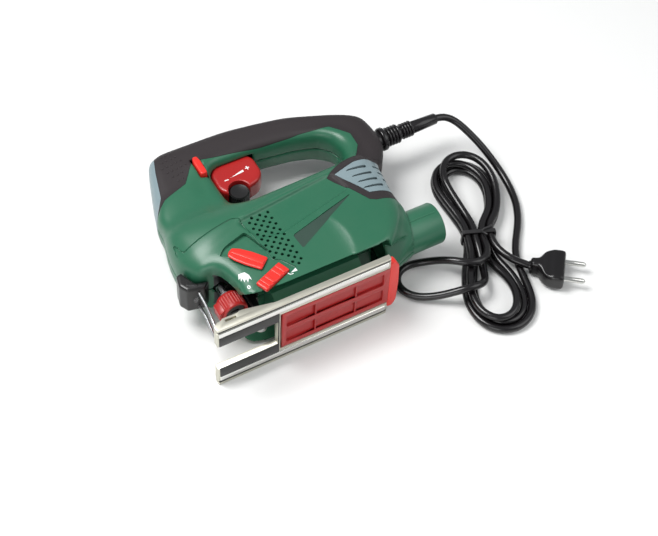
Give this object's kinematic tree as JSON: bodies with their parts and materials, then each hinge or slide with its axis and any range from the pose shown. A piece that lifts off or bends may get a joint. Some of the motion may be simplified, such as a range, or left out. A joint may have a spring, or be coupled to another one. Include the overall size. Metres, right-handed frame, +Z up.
{
  "type": "corded orbital jigsaw",
  "caption": "Handheld corded jigsaw with a D handle, tilting base plate, orbital blade drive, keyless blade clamp, dust port and a tied mains lead.",
  "frame": {"origin": "under the middle of the tool without its cord, on the surface that its right side lies on", "axes": "+X from the nose to the cord, +Y from the sole to the handle, +Z up to the tool's left side"},
  "size_m": [0.346, 0.2916, 0.076],
  "materials": {
    "green_housing": "satin",
    "black_grip": "fine grained soft rubber",
    "grey_trim": "satin",
    "steel": "machined",
    "clear_lens": "clear",
    "cast_aluminium": "cast and ground",
    "brass": "plain",
    "dark_plastic": "matt",
    "red_plastic": "satin gloss",
    "cord_rubber": "smooth rubber",
    "cord_tie_plastic": "matt",
    "plated_pin": "nickel plated"
  },
  "bodies": {
    "housing": {"left_housing": "green_housing", "right_housing": "green_housing", "dust_port": "green_housing", "tilt_foot": "green_housing", "left_grip": "black_grip", "right_grip": "black_grip", "nose_cover": "black_grip", "left_rear_vent": "grey_trim", "right_rear_vent": "grey_trim", "head_trim": "grey_trim", "housing_screw_1": "steel", "housing_screw_2": "steel", "housing_screw_3": "steel", "housing_screw_4": "steel", "gear_axle": "steel", "stator_core": "steel", "front_bearing": "steel", "rear_bearing": "steel", "wire_guard": "steel", "work_light": "clear_lens", "gear_case": "cast_aluminium", "upper_rod_bush": "brass", "lower_rod_bush": "brass", "upper_field_winding": "brass", "lower_field_winding": "brass", "left_brush_holder": "brass", "right_brush_holder": "brass", "left_carbon_brush": "dark_plastic", "right_carbon_brush": "dark_plastic", "switch_module": "dark_plastic", "control_board": "dark_plastic", "cord_boot": "cord_rubber", "cord_lead": "cord_rubber", "cord_loop": "cord_rubber", "cord_tail": "cord_rubber", "cord_hank": "cord_rubber", "plug_body": "cord_rubber", "cord_tie": "cord_tie_plastic", "upper_plug_pin": "plated_pin", "lower_plug_pin": "plated_pin"},
    "trigger": {"trigger": "red_plastic"},
    "speed_dial": {"speed_dial": "dark_plastic"},
    "lock_button": {"lock_button": "red_plastic"},
    "orbit_lever": {"orbit_lever": "red_plastic"},
    "blower_slide": {"blower_slide": "red_plastic"},
    "armature": {"armature_shaft": "steel", "armature_core": "steel", "commutator": "brass", "cooling_fan": "dark_plastic"},
    "drive_gear": {"drive_gear": "steel", "crank_roller": "steel"},
    "stroke_rod": {"stroke_rod": "steel", "blade_clamp": "steel"},
    "clamp_collar": {"clamp_collar": "red_plastic"},
    "orbit_fork": {"orbit_fork": "steel"},
    "guide_roller": {"guide_roller": "steel"},
    "base_carriage": {"base_clamp": "steel", "base_screw": "steel"},
    "base_plate": {"base_plate": "cast_aluminium"},
    "blade_depot": {"blade_depot": "red_plastic"}
  },
  "joints": [
    {"name": "trigger_press", "type": "hinge", "parent": "housing", "child": "trigger", "pos_m": [-0.037, 0.0685, 0.038], "axis": [0, 0, 1], "range_deg": [0, 7], "stiffness_Nm_per_rad": 3},
    {"name": "speed_dial_turn", "type": "hinge", "parent": "trigger", "child": "speed_dial", "pos_m": [-0.0244, 0.0405, 0.038], "axis": [0, 0, 1], "range_deg": [-135, 135]},
    {"name": "lock_press", "type": "slide", "parent": "housing", "child": "lock_button", "axis": [0, 0, -1], "range_m": [0, 0.003], "stiffness_N_per_m": 500},
    {"name": "orbit_select", "type": "hinge", "parent": "housing", "child": "orbit_lever", "pos_m": [-0.0584, -0.0607, 0.074], "axis": [0, 0, 1], "range_deg": [-54, 0]},
    {"name": "blower_slide_move", "type": "slide", "parent": "housing", "child": "blower_slide", "axis": [-0.9272, -0.3746, 0], "range_m": [0, 0.007]},
    {"name": "armature_spin", "type": "hinge", "parent": "housing", "child": "armature", "pos_m": [-0.031, -0.0295, 0.038], "axis": [1, 0, 0], "continuous": true},
    {"name": "gear_spin", "type": "hinge", "parent": "housing", "child": "drive_gear", "pos_m": [-0.057, -0.00115, 0.038], "axis": [1, 0, 0], "continuous": true},
    {"name": "rod_stroke", "type": "slide", "parent": "housing", "child": "stroke_rod", "axis": [0, 1, 0], "range_m": [-0.0115, 0.0115]},
    {"name": "collar_turn", "type": "hinge", "parent": "stroke_rod", "child": "clamp_collar", "pos_m": [-0.0863, -0.0645, 0.038], "axis": [0, 1, 0], "range_deg": [-50, 0], "stiffness_Nm_per_rad": 0.05},
    {"name": "fork_swing", "type": "hinge", "parent": "housing", "child": "orbit_fork", "pos_m": [-0.068, -0.0525, 0.038], "axis": [0, 0, 1], "range_deg": [-2, 2], "stiffness_Nm_per_rad": 1},
    {"name": "roller_spin", "type": "hinge", "parent": "orbit_fork", "child": "guide_roller", "pos_m": [-0.074, -0.0945, 0.038], "axis": [0, 0, 1], "continuous": true},
    {"name": "base_shift", "type": "slide", "parent": "housing", "child": "base_carriage", "axis": [1, 0, 0], "range_m": [0, 0.006]},
    {"name": "base_tilt", "type": "hinge", "parent": "base_carriage", "child": "base_plate", "pos_m": [-0.026, -0.1075, 0.038], "axis": [1, 0, 0], "range_deg": [-45, 45]},
    {"name": "depot_slide", "type": "slide", "parent": "base_plate", "child": "blade_depot", "axis": [1, 0, 0], "range_m": [0, 0.05]}
  ],
  "couplings": [
    {"joint": "gear_spin", "follows": "armature_spin", "ratio": -0.16667}
  ]
}
